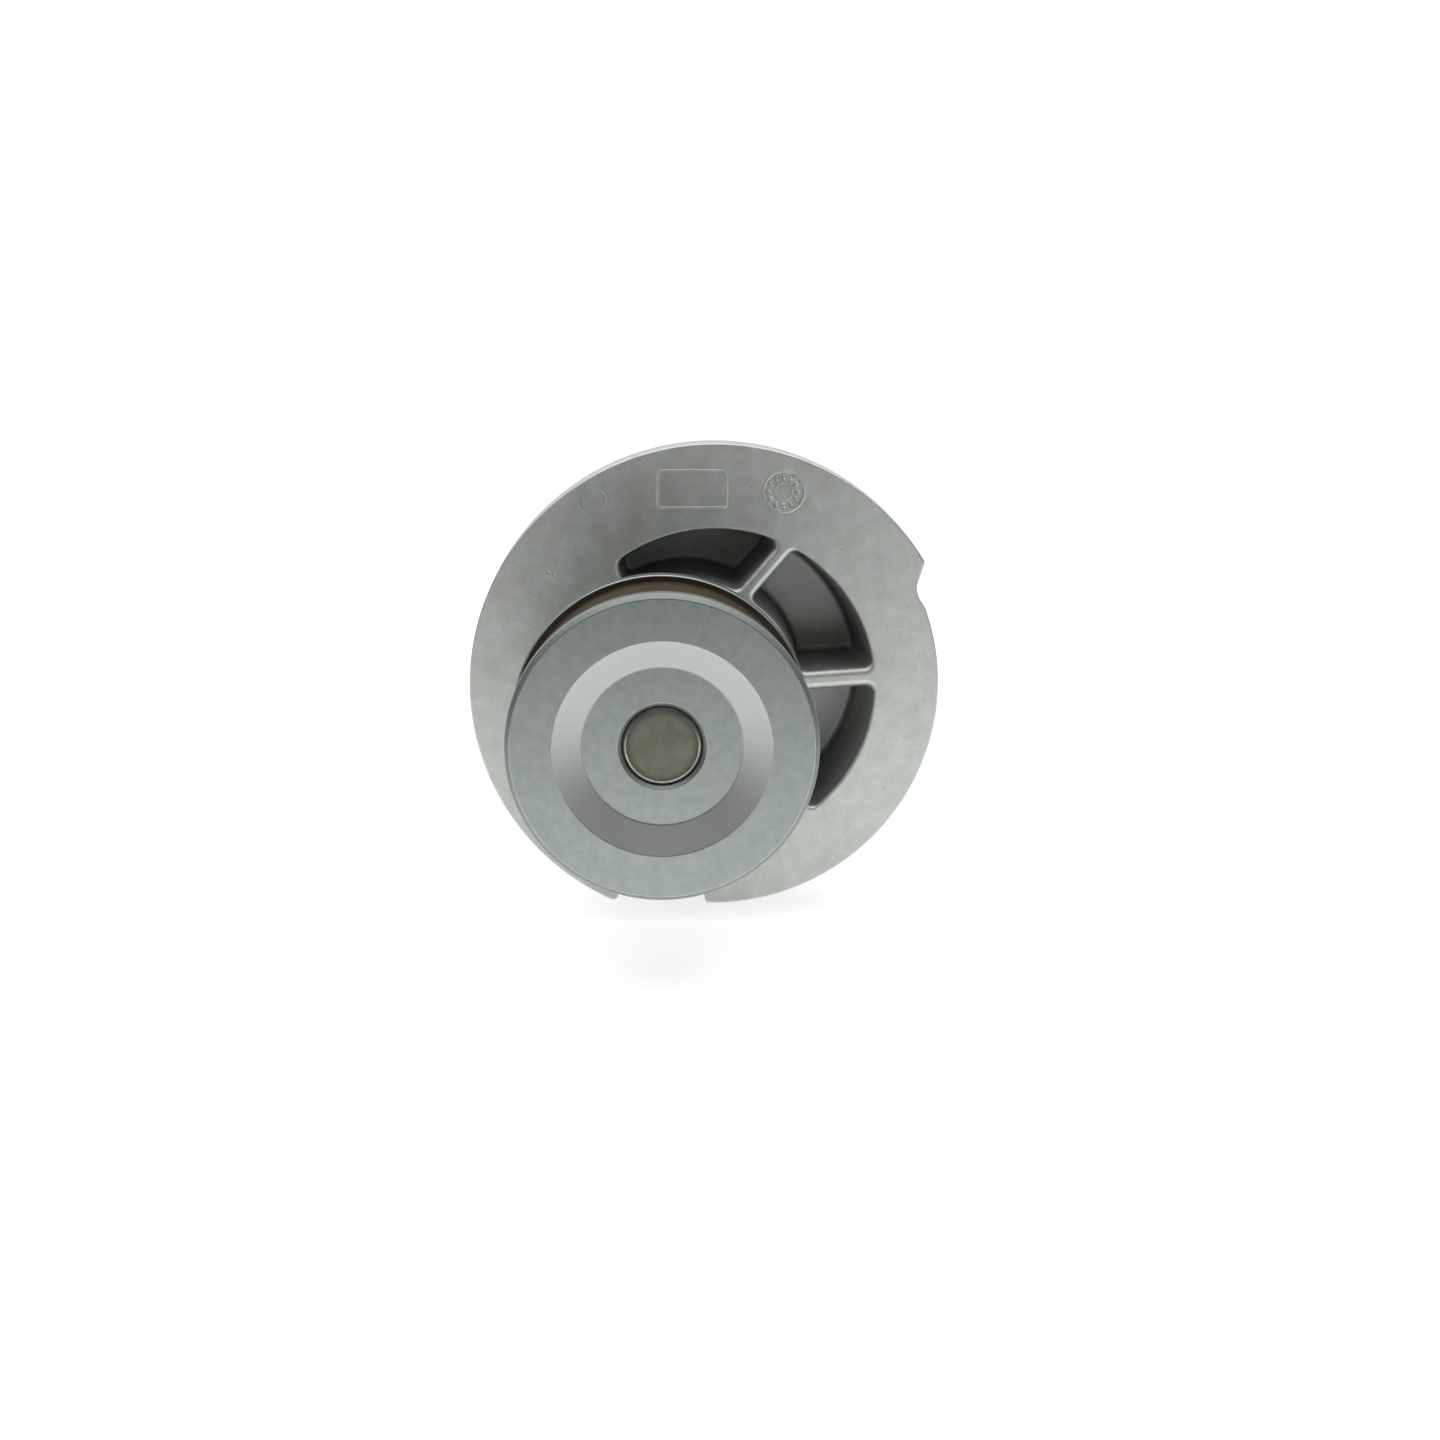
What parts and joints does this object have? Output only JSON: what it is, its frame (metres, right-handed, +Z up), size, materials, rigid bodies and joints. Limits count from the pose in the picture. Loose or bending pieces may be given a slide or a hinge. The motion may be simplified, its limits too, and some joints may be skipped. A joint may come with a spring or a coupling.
{
  "type": "coolant pump",
  "caption": "Engine coolant pump: eccentric round flange with pocketed casting, smooth flanged belt pulley on a ball-bearing shaft, face seal and vaned impeller.",
  "frame": {"origin": "centre of the spigot in the plane of the flange's seat face", "axes": "+Y along the spigot into the engine block, -Y towards the belt pulley, +Z up as the pump hangs on the engine, +X to the right seen from the pulley; the shaft lies at X -11.9 mm, Z -0.4 mm"},
  "size_m": [0.1028, 0.0957, 0.1028],
  "materials": {
    "cast_aluminium": "die-cast, tumbled, matt",
    "black_rubber": "moulded, satin",
    "turned_steel": "turned, pale phosphate",
    "shaft_steel": "ground, oiled",
    "bearing_steel": "ground",
    "polished_steel": "polished",
    "cage_plastic": "moulded polyamide",
    "seal_sheet_steel": "pressed sheet",
    "seal_brass": "drawn brass",
    "seal_carbon": "carbon graphite, lapped face",
    "seal_ceramic": "lapped ceramic",
    "impeller_plastic": "glass-filled, moulded"
  },
  "bodies": {
    "housing_body": {"housing": "cast_aluminium", "housing_o_ring": "black_rubber", "bearing_outer_ring": "bearing_steel", "front_bearing_seal": "black_rubber", "rear_bearing_seal": "black_rubber", "front_seal_stiffener": "seal_sheet_steel", "rear_seal_stiffener": "seal_sheet_steel", "seal_case": "seal_brass", "seal_bellows": "black_rubber", "bellows_clamp_ring": "seal_sheet_steel", "seal_spring": "polished_steel", "spring_collar": "seal_sheet_steel", "carbon_ring": "seal_carbon"},
    "rotor": {"pulley": "turned_steel", "shaft": "shaft_steel", "slinger": "seal_sheet_steel", "mating_ring": "seal_ceramic", "mating_ring_boot": "black_rubber", "seal_sleeve": "seal_sheet_steel", "impeller": "impeller_plastic", "impeller_bush": "bearing_steel"},
    "front_ball_set": {"front_balls": "polished_steel", "front_ball_cage": "cage_plastic"},
    "rear_ball_set": {"rear_balls": "polished_steel", "rear_ball_cage": "cage_plastic"}
  },
  "joints": [
    {"name": "shaft_spin", "type": "hinge", "parent": "housing_body", "child": "rotor", "pos_m": [-0.01189, 0, -0.00042], "axis": [0, 1, 0], "continuous": true},
    {"name": "front_balls_roll", "type": "hinge", "parent": "housing_body", "child": "front_ball_set", "pos_m": [-0.01189, 0, -0.00042], "axis": [0, 1, 0], "continuous": true},
    {"name": "rear_balls_roll", "type": "hinge", "parent": "housing_body", "child": "rear_ball_set", "pos_m": [-0.01189, 0, -0.00042], "axis": [0, 1, 0], "continuous": true}
  ],
  "couplings": [
    {"joint": "front_balls_roll", "follows": "shaft_spin", "ratio": 0.34932},
    {"joint": "rear_balls_roll", "follows": "shaft_spin", "ratio": 0.34932}
  ]
}
